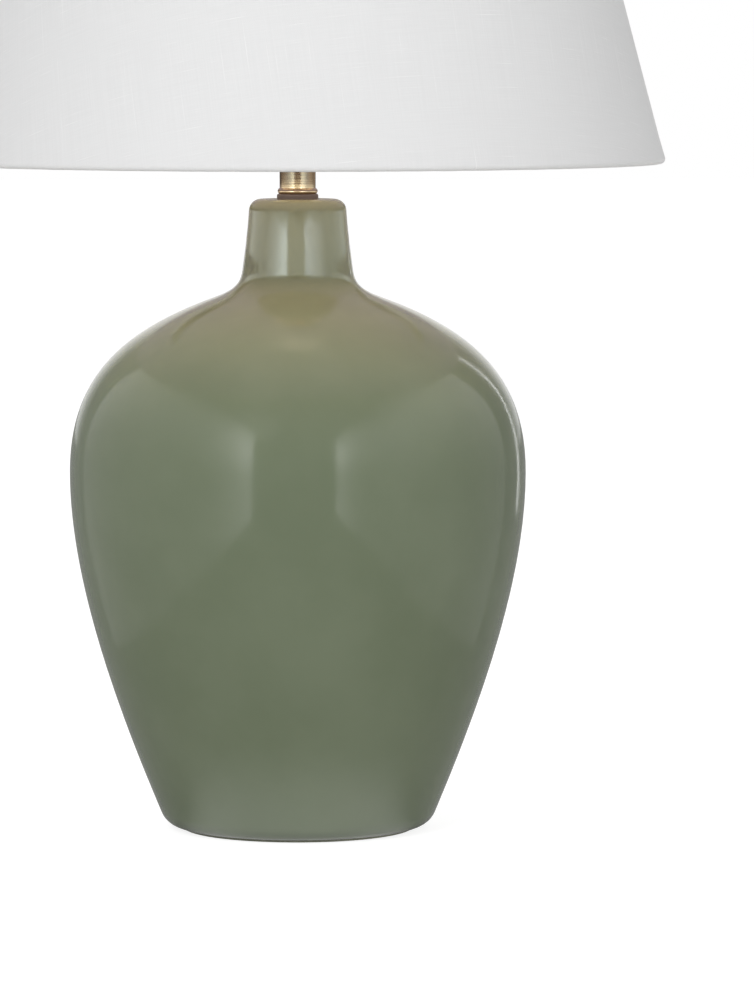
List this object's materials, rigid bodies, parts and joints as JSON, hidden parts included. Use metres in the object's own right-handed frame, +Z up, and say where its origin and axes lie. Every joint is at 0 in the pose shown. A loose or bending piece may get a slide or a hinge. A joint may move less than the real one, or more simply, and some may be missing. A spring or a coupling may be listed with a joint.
{
  "type": "table lamp",
  "caption": "Table lamp: glazed ceramic jar on felt, brass neck, screw socket with turn switch, bulb, lift-off wire harp and a tapered cloth shade held by a finial.",
  "frame": {"origin": "on the lamp's axis, at the underside of the felt pad it stands on", "axes": "+Z up along the lamp's axis; -Y towards the front, where the switch knob points; +Y to the rear, where the lead enters; the harp lies in the XZ plane"},
  "size_m": [0.4054, 0.4059, 0.6669],
  "materials": {
    "felt": "dense green-grey felt",
    "glaze": "glossy sage green glaze",
    "grommet": "matt moulded rubber",
    "gasket": "matt grey-brown rubber",
    "steel": "zinc-plated, faint brush marks",
    "brass": "antique brass, brushed and lacquered",
    "socket_brass": "bright spun brass",
    "card": "pressed insulating card",
    "phenolic": "dark moulded phenolic",
    "spindle": "turned steel",
    "bulb_cap": "rolled thread, bright",
    "bulb_insulator": "black glassy insulator",
    "bulb_housing": "white moulded plastic",
    "bulb_globe": "frosted, opal white",
    "shade_cloth": "fine off-white slubbed linen weave",
    "shade_lining": "satin white styrene"
  },
  "bodies": {
    "base": {"felt_pad": "felt", "ceramic_body": "glaze", "cord_grommet": "grommet", "threaded_rod": "steel", "bottom_crossbar": "steel", "bottom_lock_washer": "steel", "bottom_nut": "steel", "neck_gasket": "gasket", "neck_tube": "brass", "neck_cap_ring": "brass", "harp_saddle": "brass", "saddle_nut": "steel", "socket_cap": "socket_brass", "socket_set_screw": "steel", "socket_shell": "socket_brass", "socket_liner": "card", "socket_core": "phenolic", "terminal_screws": "steel", "screw_shell": "socket_brass", "centre_contact": "socket_brass"},
    "knob": {"switch_spindle": "spindle", "switch_knob": "phenolic"},
    "bulb": {"bulb_tip": "bulb_cap", "bulb_insulator": "bulb_insulator", "bulb_base": "bulb_cap", "bulb_housing": "bulb_housing", "bulb_board": "bulb_housing", "bulb_globe": "bulb_globe"},
    "harp": {"harp_bow": "brass"},
    "sleeve_left": {"harp_sleeve_left": "brass"},
    "sleeve_right": {"harp_sleeve_right": "brass"},
    "stud": {"harp_stud": "brass"},
    "shade": {"shade_fabric": "shade_cloth", "shade_liner": "shade_lining", "bottom_ring": "steel", "top_ring": "steel", "spider_spokes": "brass", "spider_hub": "brass"},
    "finial": {"finial": "brass"}
  },
  "joints": [
    {"name": "knob_turn", "type": "hinge", "parent": "base", "child": "knob", "pos_m": [0, -0.02, 0.4212], "axis": [0, -1, 0], "continuous": true},
    {"name": "bulb_turn", "type": "hinge", "parent": "base", "child": "bulb", "pos_m": [0, 0, 0.45], "axis": [0, 0, 1], "continuous": true},
    {"name": "harp_lift", "type": "slide", "parent": "base", "child": "harp", "axis": [0, 0, 1], "range_m": [0, 0.02]},
    {"name": "sleeve_left_slide", "type": "slide", "parent": "harp", "child": "sleeve_left", "axis": [0, 0, 1], "range_m": [0, 0.012]},
    {"name": "sleeve_right_slide", "type": "slide", "parent": "harp", "child": "sleeve_right", "axis": [0, 0, 1], "range_m": [0, 0.012]},
    {"name": "shade_swivel", "type": "hinge", "parent": "harp", "child": "stud", "pos_m": [0, 0, 0.632], "axis": [0, 0, 1], "continuous": true},
    {"name": "shade_lift", "type": "slide", "parent": "stud", "child": "shade", "axis": [0, 0, 1], "range_m": [0, 0.3]},
    {"name": "finial_turn", "type": "hinge", "parent": "shade", "child": "finial", "pos_m": [0, 0, 0.65], "axis": [0, 0, 1], "continuous": true}
  ]
}
